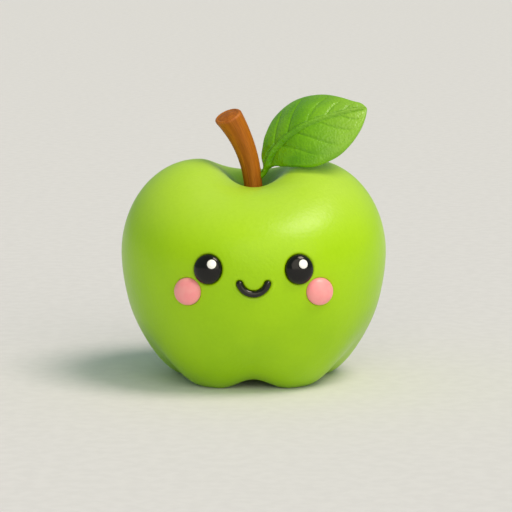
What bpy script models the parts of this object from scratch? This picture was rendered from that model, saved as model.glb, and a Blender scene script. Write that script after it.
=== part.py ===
"""Decorative apple: a green fruit with a stem, one leaf and a small smiling face.

Sizes are in metres and +Z is up. The apple stands on the lobes round its base, and its face
looks along -Y. Left and right are those of a person who looks at the face.
"""

import math

import bmesh
import bpy
from mathutils import Matrix, Vector
from mathutils.bvhtree import BVHTree

MM = 0.001

# Fruit, overall
BODY_WIDTH = 80.0 * MM
BODY_DEPTH = 76.0 * MM
BODY_HEIGHT = 66.3 * MM  # from the floor to the crests of the left and right shoulders
WAIST_HEIGHT = 38.2 * MM  # where the fruit is widest

# Fruit, top: a funnel for the stem, whose rim dips at the front and at the back
CREST_RADIUS = 16.4 * MM
CAVITY_DEPTH = 12.0 * MM
FUNNEL = 0.8  # below 1 the wall is steeper near the stem
RIM_DIP_FRONT = 6.9 * MM
RIM_DIP_BACK = 5.1 * MM

# Fruit, base: lobes round a basin, each a little flat where it stands
REST_RADIUS = 21.6 * MM
BASIN_DEPTH = 7.0 * MM
TAPER = 1.72  # 2 is a quarter ellipse from waist to base, less is slimmer
LOBES = 5
LOBE_REACH = 24.0 * MM  # height at which the grooves between the lobes have faded
GROOVE_DEPTH = 3.0 * MM
GROOVE_PINCH = 1.4 * MM
GROOVE_SHARPNESS = 1.6
REST_FLAT = 0.35 * MM

# Stem
STEM_FOOT_RADIUS = 2.8 * MM
STEM_END_RADIUS = 4.2 * MM
STEM_HEIGHT = 25.8 * MM  # from the cavity floor to the middle of the cut end
STEM_SEAT = 4.0 * MM  # depth of the foot in its socket
STEM_LEAN = 7.8 * MM
STEM_FORWARD = 4.5 * MM
STEM_BEND = 2.2  # a higher power bends the stem nearer its end
STEM_FLARE = 2.6  # a higher power widens the stem nearer its end
STEM_CUT_NORMAL = Vector((-0.38, -0.31, 0.88))
STEM_RIM_BEVEL = 0.6 * MM

# Leaf
LEAF_LENGTH = 38.0 * MM  # from the stem to the tip, straight
LEAF_WIDTH = 27.0 * MM
LEAF_ARCH = 4.6 * MM  # how far the edges curl back from the midrib
LEAF_THICKNESS = 1.8 * MM
LEAF_FACING = Vector((-0.22, -0.70, 0.68))
LEAF_JOINT_HEIGHT = 7.4 * MM  # above the cavity floor
LEAF_GAP = 0.6 * MM  # air between the blade and the shoulder under it
STALK_WIDTH = 1.5 * MM
STALK_SEAT = 1.3 * MM
STALK_DIRECTION = Vector((0.68, -0.12, 0.72))
STALK_LENGTH = 1.5 * MM  # straight, from the side of the stem
# Outline of the blade: share of the way to the tip, then how far the blade reaches above the
# midrib and below it, in shares of the leaf's width
LEAF_OUTLINE = (
    (0.05, 0.045, 0.035),
    (0.12, 0.125, 0.10),
    (0.19, 0.19, 0.225),
    (0.26, 0.32, 0.33),
    (0.34, 0.47, 0.405),
    (0.44, 0.555, 0.45),
    (0.54, 0.55, 0.47),
    (0.64, 0.455, 0.445),
    (0.74, 0.30, 0.355),
    (0.84, 0.165, 0.24),
    (0.93, 0.095, 0.11),
    (1.0, 0.0, 0.0),
)
# Midrib from the stalk to the tip, in shares of the leaf's length
MIDRIB = ((0.12, -0.06, 0.215), (0.34, -0.14, 0.40), (0.65, -0.14, 0.50), (0.83, -0.11, 0.53))

# Face
EYE_SPACING = 26.6 * MM
EYE_LEVEL = 38.5 * MM
EYE_WIDTH = 8.5 * MM
EYE_HEIGHT = 8.9 * MM
EYE_DEPTH = 4.8 * MM
GLINT_DIAMETER = 2.7 * MM
GLINT_DEPTH = 1.0 * MM
GLINT_RIGHT = 1.1 * MM
GLINT_UP = 1.85 * MM
CHEEK_WIDTH = 8.5 * MM
CHEEK_HEIGHT = 8.25 * MM
CHEEK_DEPTH = 5.0 * MM
CHEEK_GAP = 0.9 * MM  # from the rim of the eye to the rim of the cheek
CHEEK_ANGLE = math.radians(48)  # below level, outwards from the eye
BUTTON_SINK = 0.2 * MM  # of the eyes' and cheeks' middles under the skin
MOUTH_LEVEL = 35.7 * MM  # the middle of the smile's circle
MOUTH_RADIUS = 4.2 * MM
MOUTH_HALF_ANGLE = math.radians(74)
MOUTH_ROD = 2.0 * MM

# Calyx, the dried blossom end in the basin
CALYX_RADIUS = 3.6 * MM
CALYX_WAIST = 1.9 * MM
CALYX_THICKNESS = 1.5 * MM
CALYX_SEAT = 0.7 * MM

# Fits and mesh fineness
CLEARANCE = 0.3 * MM
CUT_EXTRA = 3.0 * MM  # how far a cutter runs on past the surface
WELD = 0.001 * MM
TURN_STEPS = 50
CAVITY_STEPS = 8
FLANK_STEPS = 12
BASIN_STEPS = 7
STEM_STEPS = 16
SMILE_STEPS = 26
LEAF_STEPS = 4  # to each stretch of the midrib
LEAF_ROWS = 4  # across the blade

QUARTER_TURN = math.radians(90)  # as an angle about Z from +X, the front of the apple


def clear_scene():
    for old in list(bpy.data.objects):
        bpy.data.objects.remove(old, do_unlink=True)


def new_collection(name):
    collection = bpy.data.collections.new(name)
    bpy.context.scene.collection.children.link(collection)
    return collection


def material(name, hex_colour, roughness):
    """Principled surface of one plain colour, which is given as sRGB."""
    channels = [int(hex_colour[i : i + 2], 16) / 255 for i in (0, 2, 4)]
    linear = [c / 12.92 if c <= 0.04045 else ((c + 0.055) / 1.055) ** 2.4 for c in channels]
    made = bpy.data.materials.new(name)
    made.use_nodes = True
    shader = made.node_tree.nodes["Principled BSDF"]
    shader.inputs["Base Color"].default_value = (*linear, 1.0)
    shader.inputs["Roughness"].default_value = roughness
    shader.inputs["Metallic"].default_value = 0.0
    made.diffuse_color = (*linear, 1.0)
    return made


def add_part(name, mesh, surface, place=None):
    """Adds a smooth-shaded sub-part to the apple, at the given place."""
    part = bpy.data.objects.new(name, mesh)
    apple_parts.objects.link(part)
    mesh.materials.clear()
    mesh.materials.append(surface)
    mesh.shade_smooth()
    part.parent = apple_root
    part.matrix_world = place or Matrix()
    return part


def add_cutter(name, mesh, place=None):
    cutter = bpy.data.objects.new(name, mesh)
    cutters.objects.link(cutter)
    cutter.parent = apple_root
    cutter.matrix_world = place or Matrix()
    cutter.hide_render = True
    cutter.display_type = "WIRE"
    return cutter


def cut(part, cutter):
    boolean = part.modifiers.new(f"{cutter.name} socket", "BOOLEAN")
    boolean.operation = "DIFFERENCE"
    boolean.solver = "EXACT"
    boolean.object = cutter


def mesh_from(bm, name):
    mesh = bpy.data.meshes.new(name)
    bm.to_mesh(mesh)
    bm.free()
    return mesh


def finished_mesh(obj):
    """The object's mesh with its modifiers or curve bevel applied, welded; the object goes."""
    bpy.context.view_layer.update()
    depsgraph = bpy.context.evaluated_depsgraph_get()
    mesh = bpy.data.meshes.new_from_object(obj.evaluated_get(depsgraph))
    bm = bmesh.new()
    bm.from_mesh(mesh)
    bmesh.ops.remove_doubles(bm, verts=bm.verts, dist=WELD)
    bmesh.ops.recalc_face_normals(bm, faces=bm.faces)
    bm.to_mesh(mesh)
    bm.free()
    bpy.data.objects.remove(obj)
    return mesh


def smoothstep(x):
    """0 up to 0, 1 from 1 on, and an even S between them."""
    x = min(1.0, max(0.0, x))
    return x * x * (3.0 - 2.0 * x)


def smooth_path(points, steps):
    """Points on a smooth curve through the given ones, with so many steps to each span."""
    knots = [Vector(p) for p in points]
    slopes = [(b - a) / 6 for a, b in zip([knots[0], *knots], [*knots[1:], knots[-1]])]
    path = [knots[0]]
    for i in range(len(knots) - 1):
        start_handle = knots[i] + slopes[i]
        end_handle = knots[i + 1] - slopes[i + 1]
        for step in range(1, steps + 1):
            t = step / steps
            path.append(
                (1 - t) ** 3 * knots[i]
                + 3 * (1 - t) ** 2 * t * start_handle
                + 3 * (1 - t) * t * t * end_handle
                + t**3 * knots[i + 1]
            )
    return path


def tube_mesh(name, path, radii, bevel_resolution):
    """A closed round tube along a path, with its own radius at each point."""
    curve = bpy.data.curves.new(name, "CURVE")
    curve.dimensions = "3D"
    curve.bevel_depth = 1.0
    curve.bevel_resolution = bevel_resolution
    curve.use_fill_caps = True
    spline = curve.splines.new("POLY")
    spline.points.add(len(path) - 1)
    for point, place, radius in zip(spline.points, path, radii):
        point.co = (*place, 1.0)
        point.radius = radius
    holder = bpy.data.objects.new(name, curve)
    cutters.objects.link(holder)
    return finished_mesh(holder)


def ball_mesh(name, width, height, depth, segments=20, rings=12):
    """A ball pressed flat: its width on X, its height on Y and its depth on Z."""
    bm = bmesh.new()
    bmesh.ops.create_uvsphere(bm, u_segments=segments, v_segments=rings, radius=0.5)
    bmesh.ops.scale(bm, vec=(width, height, depth), verts=bm.verts)
    return mesh_from(bm, name)


# Fruit


def fruit_outline():
    """Half outline (radius, height), from the cavity floor over the shoulder to the basin."""
    waist = BODY_WIDTH / 2
    outline = []
    for i in range(CAVITY_STEPS):
        share = i / CAVITY_STEPS
        rise = (1 - math.cos(math.pi * share**FUNNEL)) / 2
        outline.append((CREST_RADIUS * share, BODY_HEIGHT - CAVITY_DEPTH * (1 - rise)))
    for i in range(FLANK_STEPS):
        turn = QUARTER_TURN * i / FLANK_STEPS
        out = CREST_RADIUS + (waist - CREST_RADIUS) * math.sin(turn)
        outline.append((out, WAIST_HEIGHT + (BODY_HEIGHT - WAIST_HEIGHT) * math.cos(turn)))
    for i in range(FLANK_STEPS):
        turn = QUARTER_TURN * i / FLANK_STEPS
        out = REST_RADIUS + (waist - REST_RADIUS) * math.cos(turn) ** (2 / TAPER)
        drop = (WAIST_HEIGHT + REST_FLAT) * math.sin(turn) ** (2 / TAPER)
        outline.append((out, WAIST_HEIGHT - drop))
    for i in range(BASIN_STEPS + 1):
        share = 1 - i / BASIN_STEPS
        rise = (1 + math.cos(math.pi * share)) / 2
        outline.append((REST_RADIUS * share, BASIN_DEPTH * rise - REST_FLAT * (1 - rise)))
    return outline


def grown(point):
    """Where the grown fruit has a point of the plain turned body."""
    radius = math.hypot(point.x, point.y)
    around = math.atan2(-point.y, point.x)
    high = smoothstep((point.z - WAIST_HEIGHT) / (BODY_HEIGHT - WAIST_HEIGHT))
    at_rim = high * smoothstep(radius / CREST_RADIUS)
    at_lobes = smoothstep(1 - point.z / LOBE_REACH) * smoothstep(radius / REST_RADIUS)
    groove = ((1 + math.cos(LOBES * (around - QUARTER_TURN))) / 2) ** GROOVE_SHARPNESS * at_lobes
    inwards = 1 - GROOVE_PINCH * groove / max(radius, REST_RADIUS)
    dip = (RIM_DIP_FRONT if point.y < 0 else RIM_DIP_BACK) * math.sin(around) ** 2
    height = point.z - dip * at_rim + GROOVE_DEPTH * groove
    return Vector((point.x * inwards, point.y * inwards * BODY_DEPTH / BODY_WIDTH, height))


def turned_body():
    """The outline turned about Z by a Screw modifier."""
    bm = bmesh.new()
    corners = [bm.verts.new((radius, 0.0, height)) for radius, height in fruit_outline()]
    for upper, lower in zip(corners, corners[1:]):
        bm.edges.new((upper, lower))
    profile = bpy.data.objects.new("fruit outline", mesh_from(bm, "fruit outline"))
    cutters.objects.link(profile)
    screw = profile.modifiers.new("turn", "SCREW")
    screw.steps = TURN_STEPS
    screw.render_steps = TURN_STEPS
    screw.use_merge_vertices = True
    screw.merge_threshold = WELD
    return finished_mesh(profile)


def fruit_mesh():
    """The body with its rim, lobes and flat resting spots, still without sockets."""
    mesh = turned_body()
    mesh.name = "fruit"
    bm = bmesh.new()
    bm.from_mesh(mesh)
    for vert in bm.verts:
        vert.co = grown(vert.co)
    everything = bm.verts[:] + bm.edges[:] + bm.faces[:]
    bmesh.ops.bisect_plane(
        bm, geom=everything, plane_co=(0, 0, 0), plane_no=(0, 0, 1), clear_inner=True
    )
    open_edges = [edge for edge in bm.edges if edge.is_boundary]
    bmesh.ops.holes_fill(bm, edges=open_edges, sides=0)
    bmesh.ops.recalc_face_normals(bm, faces=bm.faces)
    bm.to_mesh(mesh)
    bm.free()
    return mesh


def skin_tree(mesh):
    bm = bmesh.new()
    bm.from_mesh(mesh)
    tree = BVHTree.FromBMesh(bm)
    bm.free()
    return tree


def on_skin(skin, x, z):
    """The point of the front skin at this distance to the right and this height."""
    return skin.ray_cast(Vector((x, -BODY_DEPTH, z)), Vector((0, 1, 0)))[0]


def seat_on(skin, x, z, reach=2 * MM):
    """A place on the front skin: X along it to the right, Y along it upwards, Z out of it."""
    right = on_skin(skin, x + reach, z) - on_skin(skin, x - reach, z)
    out = right.cross(on_skin(skin, x, z + reach) - on_skin(skin, x, z - reach)).normalized()
    right = Vector((0, 0, 1)).cross(out).normalized()
    axes = Matrix((right, out.cross(right), out)).transposed().to_4x4()
    return Matrix.Translation(on_skin(skin, x, z)) @ axes


# Stem, in its own frame: its origin is in the middle of the cavity floor


def stem_middle(share):
    """A point of the stem's middle line: 0 is at the cavity floor and 1 at the cut end."""
    above_floor = max(share, 0.0)
    left = STEM_LEAN * above_floor**STEM_BEND
    return Vector((-left, -STEM_FORWARD * above_floor**2, STEM_HEIGHT * share))


def stem_radius(share):
    return STEM_FOOT_RADIUS + (STEM_END_RADIUS - STEM_FOOT_RADIUS) * max(share, 0.0) ** STEM_FLARE


def stem_mesh():
    """The stem's tube, cut aslant at its end, with the rim of the cut rounded."""
    beyond = 1 + STEM_END_RADIUS / STEM_HEIGHT
    shares = [-STEM_SEAT / STEM_HEIGHT] + [beyond * i / STEM_STEPS for i in range(STEM_STEPS + 1)]
    radii = [stem_radius(share) for share in shares]
    mesh = tube_mesh("stem", [stem_middle(share) for share in shares], radii, 8)
    bm = bmesh.new()
    bm.from_mesh(mesh)
    everything = bm.verts[:] + bm.edges[:] + bm.faces[:]
    bmesh.ops.bisect_plane(
        bm, geom=everything, plane_co=stem_middle(1), plane_no=STEM_CUT_NORMAL, clear_outer=True
    )
    rim = [edge for edge in bm.edges if edge.is_boundary]
    bmesh.ops.holes_fill(bm, edges=rim, sides=0)
    bmesh.ops.bevel(
        bm,
        geom=rim,
        offset=STEM_RIM_BEVEL,
        segments=3,
        profile=0.5,
        affect="EDGES",
        material=-1,
    )
    bmesh.ops.recalc_face_normals(bm, faces=bm.faces)
    bm.to_mesh(mesh)
    bm.free()
    return mesh


def cylinder_mesh(name, radius, depth, segments=24):
    """A cylinder whose base is at its own origin, standing on Z."""
    bm = bmesh.new()
    bmesh.ops.create_cone(
        bm, cap_ends=True, segments=segments, radius1=radius, radius2=radius, depth=depth
    )
    bmesh.ops.translate(bm, vec=(0, 0, depth / 2), verts=bm.verts)
    return mesh_from(bm, name)


def stem_place():
    return Matrix.Translation((0, 0, BODY_HEIGHT - CAVITY_DEPTH))


def stem_socket():
    depth = STEM_SEAT + CLEARANCE
    mesh = cylinder_mesh("stem foot", STEM_FOOT_RADIUS + CLEARANCE, depth + CUT_EXTRA)
    return add_cutter("stem foot", mesh, stem_place() @ Matrix.Translation((0, 0, -depth)))


# Leaf, in its own frame: its origin is where its stalk meets the right side of the stem


def leaf_place():
    share = LEAF_JOINT_HEIGHT / STEM_HEIGHT
    side = stem_middle(share) + Vector((stem_radius(share), 0, 0))
    return stem_place() @ Matrix.Translation(side)


def leaf_reach(share, column):
    """How far the leaf reaches to one side of its midrib: column 1 is above and 2 below."""
    share = min(max(share, 0.0), 1.0)
    rows = ((0.0, *[STALK_WIDTH / 2 / LEAF_WIDTH] * 2), *LEAF_OUTLINE)
    index = max(i for i in range(len(rows) - 1) if rows[i][0] <= share)
    before, start, end, after = (rows[min(max(index + i, 0), len(rows) - 1)] for i in range(-1, 3))
    step = end[0] - start[0]
    slope_in = (end[column] - before[column]) / (end[0] - before[0]) * step
    slope_out = (after[column] - start[column]) / (after[0] - start[0]) * step
    t = (share - start[0]) / step
    reach = (2 * t**3 - 3 * t**2 + 1) * start[column] + (t**3 - 2 * t**2 + t) * slope_in
    reach += (3 * t**2 - 2 * t**3) * end[column] + (t**3 - t**2) * slope_out
    return LEAF_WIDTH * reach


def over_skin(skin, point):
    """The point, raised if need be so that the blade's edge there clears the shoulder."""
    place = leaf_place().translation
    above = place + point + Vector((0, 0, BODY_HEIGHT))
    hit, out, _, _ = skin.ray_cast(above, Vector((0, 0, -1)))
    if hit is None:
        return point
    edge = LEAF_THICKNESS / 4  # the smoothed edge is about half as thick as the blade
    rest = hit.z + (edge + LEAF_GAP) / out.z - place.z
    return Vector((point.x, point.y, max(point.z, rest)))


def leaf_cage(skin):
    """A grid bent to the middle surface of the leaf, which lies over the right shoulder."""
    along = STALK_DIRECTION.normalized()
    stalk = [-along * STALK_SEAT, along * STALK_LENGTH]
    blade = [Vector(share) * LEAF_LENGTH for share in MIDRIB]
    midrib = smooth_path(stalk + blade, LEAF_STEPS)
    last = len(midrib) - 1
    facing = LEAF_FACING.normalized()
    bm = bmesh.new()
    bmesh.ops.create_grid(bm, x_segments=last, y_segments=LEAF_ROWS, size=1.0)
    for vert in bm.verts:
        index = round((vert.co.x + 1) / 2 * last)
        before, after = midrib[max(index - 1, 0)], midrib[min(index + 1, last)]
        side = facing.cross(after - before).normalized()
        share = (index - LEAF_STEPS) / (last - LEAF_STEPS)
        across = vert.co.y * leaf_reach(share, 1 if vert.co.y > 0 else 2)
        curl = LEAF_ARCH * (across / (LEAF_WIDTH / 2)) ** 2
        point = midrib[index] + side * across - facing * curl
        vert.co = over_skin(skin, point) if share > 0 else point
    bmesh.ops.recalc_face_normals(bm, faces=bm.faces)
    return mesh_from(bm, "leaf")


def add_leaf(skin, surface):
    """The leaf with its stalk, one padded piece, thickened and smoothed by modifiers."""
    leaf = add_part("leaf", leaf_cage(skin), surface, leaf_place())
    thicken = leaf.modifiers.new("thickness", "SOLIDIFY")
    thicken.thickness = LEAF_THICKNESS
    thicken.offset = 0.0
    smooth = leaf.modifiers.new("smooth", "SUBSURF")
    smooth.levels = 1
    smooth.render_levels = 1
    return leaf


def stalk_socket():
    """Room for the end of the stalk in the side of the stem."""
    along = STALK_DIRECTION.normalized()
    depth = STALK_SEAT + CLEARANCE
    radius = max(STALK_WIDTH, LEAF_THICKNESS) / 2 + CLEARANCE
    mesh = cylinder_mesh("stalk end", radius, depth + CUT_EXTRA, 16)
    turn = along.to_track_quat("Z", "Y").to_matrix().to_4x4()
    return add_cutter("stalk end", mesh, leaf_place() @ Matrix.Translation(-along * depth) @ turn)


# Face


def add_button(name, seat, size, surface, fruit):
    """A ball pressed flat and half sunk in the skin, with its socket. Returns the ball."""
    place = seat @ Matrix.Translation((0, 0, -BUTTON_SINK))
    grown_size = [length + 2 * CLEARANCE for length in size]
    cut(fruit, add_cutter(f"{name} seat", ball_mesh(f"{name} seat", *grown_size), place))
    return add_part(name, ball_mesh(name, *size), surface, place)


def add_glint(name, eye, surface):
    """The white dot let into an eye, up and to the right of the eye's middle as seen from the front."""
    to_eye = eye.matrix_world.inverted()
    from_front = eye.matrix_world.translation + Vector((GLINT_RIGHT, -BODY_DEPTH, GLINT_UP))
    ray = to_eye.to_3x3() @ Vector((0, 1, 0))
    spot = skin_tree(eye.data).ray_cast(to_eye @ from_front, ray)[0]
    out = Vector((spot.x / EYE_WIDTH**2, spot.y / EYE_HEIGHT**2, spot.z / EYE_DEPTH**2))
    turn = out.to_track_quat("Z", "Y").to_matrix().to_4x4()
    place = eye.matrix_world @ Matrix.Translation(spot) @ turn
    dot = (GLINT_DIAMETER, GLINT_DIAMETER, GLINT_DEPTH)
    room = [length + 2 * CLEARANCE for length in dot]
    cut(eye, add_cutter(f"{name} seat", ball_mesh(f"{name} seat", *room, 16, 8), place))
    return add_part(name, ball_mesh(name, *dot, 16, 8), surface, place)


def smile_mesh(name, skin, radius):
    """A round-ended rod along the smile, its middle line in the skin, from the smile's middle."""
    middle = on_skin(skin, 0, MOUTH_LEVEL)
    tip_turn = MOUTH_HALF_ANGLE + radius / MOUTH_RADIUS
    thinnest = radius / 50  # at the very tips, where a rounded end would come to a point
    path, radii = [], []
    for i in range(SMILE_STEPS + 1):
        turn = tip_turn * -math.cos(math.pi * i / SMILE_STEPS)
        x, z = MOUTH_RADIUS * math.sin(turn), MOUTH_LEVEL - MOUTH_RADIUS * math.cos(turn)
        path.append(on_skin(skin, x, z) - middle)
        to_tip = min(1.0, (tip_turn - abs(turn)) * MOUTH_RADIUS / radius)
        radii.append(max(radius * math.sqrt(1 - (1 - to_tip) ** 2), thinnest))
    return tube_mesh(name, path, radii, 4)


def add_face(fruit, skin, black, white, pink):
    eye_size = (EYE_WIDTH, EYE_HEIGHT, EYE_DEPTH)
    cheek_size = (CHEEK_WIDTH, CHEEK_HEIGHT, CHEEK_DEPTH)
    apart = (EYE_WIDTH + EYE_HEIGHT + CHEEK_WIDTH + CHEEK_HEIGHT) / 4 + CHEEK_GAP
    for side, name in ((-1, "left"), (1, "right")):
        eye_x = side * EYE_SPACING / 2
        eye_seat = seat_on(skin, eye_x, EYE_LEVEL)
        eye = add_button(f"eye_{name}", eye_seat, eye_size, black, fruit)
        add_glint(f"eye_glint_{name}", eye, white)
        shift = Vector((side * math.cos(CHEEK_ANGLE), -math.sin(CHEEK_ANGLE), 0)) * apart
        beside = eye_seat @ shift
        cheek_seat = seat_on(skin, beside.x, beside.z)
        add_button(f"cheek_{name}", cheek_seat, cheek_size, pink, fruit)
    smile_place = Matrix.Translation(on_skin(skin, 0, MOUTH_LEVEL))
    add_part("mouth", smile_mesh("mouth", skin, MOUTH_ROD / 2), black, smile_place)
    groove = smile_mesh("mouth seat", skin, MOUTH_ROD / 2 + CLEARANCE)
    cut(fruit, add_cutter("mouth seat", groove, smile_place))


# Calyx


def add_calyx(fruit, surface):
    """A five-pointed tuft of dried sepals in the middle of the basin."""
    star = bpy.data.curves.new("calyx", "CURVE")
    star.dimensions = "2D"
    star.fill_mode = "BOTH"
    star.extrude = CALYX_THICKNESS / 2
    spline = star.splines.new("POLY")
    points = 2 * LOBES
    spline.points.add(points - 1)
    for i, point in enumerate(spline.points):
        reach = CALYX_RADIUS if i % 2 else CALYX_WAIST
        turn = QUARTER_TURN + math.pi * i / LOBES
        point.co = (reach * math.cos(turn), reach * math.sin(turn), 0, 1)
    spline.use_cyclic_u = True
    holder = bpy.data.objects.new("calyx", star)
    cutters.objects.link(holder)
    top = BASIN_DEPTH + CALYX_SEAT
    place = Matrix.Translation((0, 0, top - CALYX_THICKNESS / 2))
    add_part("calyx", finished_mesh(holder), surface, place)
    recess = cylinder_mesh("calyx seat", CALYX_RADIUS + CLEARANCE, BASIN_DEPTH)
    base = Matrix.Translation((0, 0, top + CLEARANCE - BASIN_DEPTH))
    cut(fruit, add_cutter("calyx seat", recess, base))


def stand_over_origin():
    """Moves the whole apple so that the middle of its box is over the origin."""
    bpy.context.view_layer.update()
    depsgraph = bpy.context.evaluated_depsgraph_get()
    corners = []
    for part in apple_parts.objects:
        if part.type == "MESH":
            shown = part.evaluated_get(depsgraph)
            corners += [shown.matrix_world @ Vector(corner) for corner in shown.bound_box]
    middle_x = (min(c.x for c in corners) + max(c.x for c in corners)) / 2
    middle_y = (min(c.y for c in corners) + max(c.y for c in corners)) / 2
    apple_root.location = (-middle_x, -middle_y, 0)


clear_scene()
apple_parts = new_collection("apple")
cutters = new_collection("cutters")
apple_root = bpy.data.objects.new("apple root", None)
apple_parts.objects.link(apple_root)

green_skin = material("satin green skin", "9CC91F", 0.42)
leaf_green = material("satin leaf green", "62A31C", 0.50)
stem_brown = material("stem brown", "9C5A1E", 0.50)
gloss_black = material("gloss black", "15130F", 0.12)
gloss_white = material("gloss white", "F6F5F2", 0.15)
satin_pink = material("satin pink", "F4908C", 0.38)
dry_brown = material("dry brown", "6A4A22", 0.85)

skin_mesh = fruit_mesh()
front_skin = skin_tree(skin_mesh)
fruit = add_part("fruit", skin_mesh, green_skin)
add_face(fruit, front_skin, gloss_black, gloss_white, satin_pink)
stem = add_part("stem", stem_mesh(), stem_brown, stem_place())
cut(fruit, stem_socket())
add_leaf(front_skin, leaf_green)
cut(stem, stalk_socket())
add_calyx(fruit, dry_brown)
stand_over_origin()
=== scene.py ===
# %% [markdown]
# # A smiling apple
# A small decoration, cast in soft vinyl: a green apple with a bent stem, one leaf and a face
# of glossy beads. The measured model gives every piece its size and place. This script keeps
# those and gives the pieces their real surfaces: soft dents, veins, grain and colour.

# %% Load the measured model
import math

import bmesh
import bpy
from mathutils import Matrix, Vector, noise
from mathutils.bvhtree import BVHTree


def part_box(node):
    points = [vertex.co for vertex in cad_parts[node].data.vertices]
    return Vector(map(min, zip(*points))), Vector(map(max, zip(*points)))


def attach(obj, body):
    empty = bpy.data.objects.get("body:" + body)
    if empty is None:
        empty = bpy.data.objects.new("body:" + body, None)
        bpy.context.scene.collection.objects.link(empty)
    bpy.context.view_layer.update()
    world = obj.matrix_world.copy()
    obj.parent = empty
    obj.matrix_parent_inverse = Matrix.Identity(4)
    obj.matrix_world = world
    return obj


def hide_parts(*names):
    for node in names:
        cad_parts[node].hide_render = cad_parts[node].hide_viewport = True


MM = 0.001

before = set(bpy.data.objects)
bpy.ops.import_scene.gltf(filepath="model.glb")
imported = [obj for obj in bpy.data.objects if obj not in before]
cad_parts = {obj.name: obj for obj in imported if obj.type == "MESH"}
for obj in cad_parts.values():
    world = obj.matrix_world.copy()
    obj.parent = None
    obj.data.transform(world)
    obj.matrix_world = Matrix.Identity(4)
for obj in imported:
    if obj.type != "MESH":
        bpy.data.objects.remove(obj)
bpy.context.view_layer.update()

# %% [markdown]
# ## A view for judging the pieces
# The camera stands in front of the apple, a little above it, with a long lens, so that the
# apple looks as it does in the hand of someone who holds it out. Making the camera first lets
# every later piece be judged in the same frame.

# %% Camera
CAMERA_HEIGHT_ANGLE = math.radians(9)
CAMERA_DISTANCE = 0.8
CAMERA_AIM = Vector((0.7, 0.0, 36.9)) * MM
CAMERA_LENS = 185.8

camera = bpy.data.objects.new("camera", bpy.data.cameras.new("camera"))
bpy.context.scene.collection.objects.link(camera)
camera.data.lens = CAMERA_LENS
towards_camera = Vector((0, -math.cos(CAMERA_HEIGHT_ANGLE), math.sin(CAMERA_HEIGHT_ANGLE)))
camera.location = CAMERA_AIM + towards_camera * CAMERA_DISTANCE
camera.rotation_euler = (math.radians(90) - CAMERA_HEIGHT_ANGLE, 0, 0)
bpy.context.scene.camera = camera
print("camera at", [round(x, 3) for x in camera.location])

# %% [markdown]
# ## Clay
# Most of the pieces are rounded lumps: beads, a leaf, a stem. A sculptor would start each one
# from a ball of clay and draw it out. The same works here: a UV sphere has rings from pole to
# pole and points around each ring, and a rule says where each of them goes. The result is one
# closed skin, whatever its shape, with no seam to mend. A second rule can mark each point with
# a few numbers, which a material reads later.

# %% Mould a ball into a shape
def smoothstep(x):
    """0 up to 0, 1 from 1 on, and an even S between them."""
    x = min(1.0, max(0.0, x))
    return x * x * (3.0 - 2.0 * x)


def hump(x, width):
    """1 at 0, and fading on both sides over about the width."""
    return math.exp(-((x / width) ** 2))


def moulded(around, rings, shape, mark=None):
    """A closed skin. shape(turn, share) is a point's place, share running from pole to pole."""
    bm = bmesh.new()
    bmesh.ops.create_uvsphere(bm, u_segments=around, v_segments=rings, radius=1.0)
    marks = bm.verts.layers.float_vector.new("mark") if mark else None
    for vert in bm.verts:
        share = math.acos(max(-1.0, min(1.0, vert.co.z))) / math.pi
        turn = math.atan2(vert.co.y, vert.co.x)
        vert.co = shape(turn, share)
        if mark:
            vert[marks] = mark(turn, share)
    bmesh.ops.recalc_face_normals(bm, faces=bm.faces)
    return bm


SHARP_ANGLE = 60  # degrees between faces, from which an edge looks sharp
PRESSED_SHARP_ANGLE = 50


def finished_piece(name, bm, node, sharp_angle=SHARP_ANGLE):
    """The mesh as a smooth piece that takes the place of a node of the measured model."""
    mesh = bpy.data.meshes.new(name)
    bm.to_mesh(mesh)
    bm.free()
    mesh.shade_smooth()
    mesh.set_sharp_from_angle(angle=math.radians(sharp_angle))
    piece = bpy.data.objects.new(name, mesh)
    bpy.context.scene.collection.objects.link(piece)
    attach(piece, "root")
    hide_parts(node)
    print(f"{name}: {len(mesh.polygons)} faces")
    return piece


# %% [markdown]
# ## The skin's plain shape
# An apple is nearly a turned shape. Half its outline is drawn as a chain of edges, from the
# socket of the stem over the shoulder, down the flank and into the basin underneath, and the
# Spin operator turns it about the apple's axis. The formulas are those of the measured model,
# with many more steps, so the facets disappear.

# %% The apple's outline
skin_low, skin_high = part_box("fruit")
APPLE_AXIS = Vector(((skin_low.x + skin_high.x) / 2, (skin_low.y + skin_high.y) / 2, 0))
WAIST_RADIUS = (skin_high.x - skin_low.x) / 2
CREST_HEIGHT = skin_high.z
DEPTH_SHARE = 76.0 / 80.0
WAIST_HEIGHT = 38.2 * MM
CREST_RADIUS = 16.4 * MM
CAVITY_DEPTH = 12.0 * MM
FUNNEL = 0.8
REST_RADIUS = 21.6 * MM
BASIN_DEPTH = 7.0 * MM
TAPER = 1.72
REST_FLAT = 0.35 * MM
STEM_SOCKET = Vector((2.95, 0, 4.2)) * MM  # its radius, and its depth under the cavity's floor
CALYX_SOCKET = Vector((3.9, 0, 8.0)) * MM  # its radius, and the height of its end
CAVITY_STEPS, FLANK_STEPS, BASIN_STEPS, TURN_STEPS = 34, 56, 34, 200


def flank_radius(height):
    """The turned body's radius at a height between the crest and the resting ring."""
    if height > WAIST_HEIGHT:
        rise = (height - WAIST_HEIGHT) / (CREST_HEIGHT - WAIST_HEIGHT)
        return CREST_RADIUS + (WAIST_RADIUS - CREST_RADIUS) * math.sqrt(max(0.0, 1 - rise**2))
    drop = (WAIST_HEIGHT - height) / (WAIST_HEIGHT + REST_FLAT)
    bulge = max(0.0, 1 - drop**TAPER) ** (1 / TAPER)
    return REST_RADIUS + (WAIST_RADIUS - REST_RADIUS) * bulge


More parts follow.
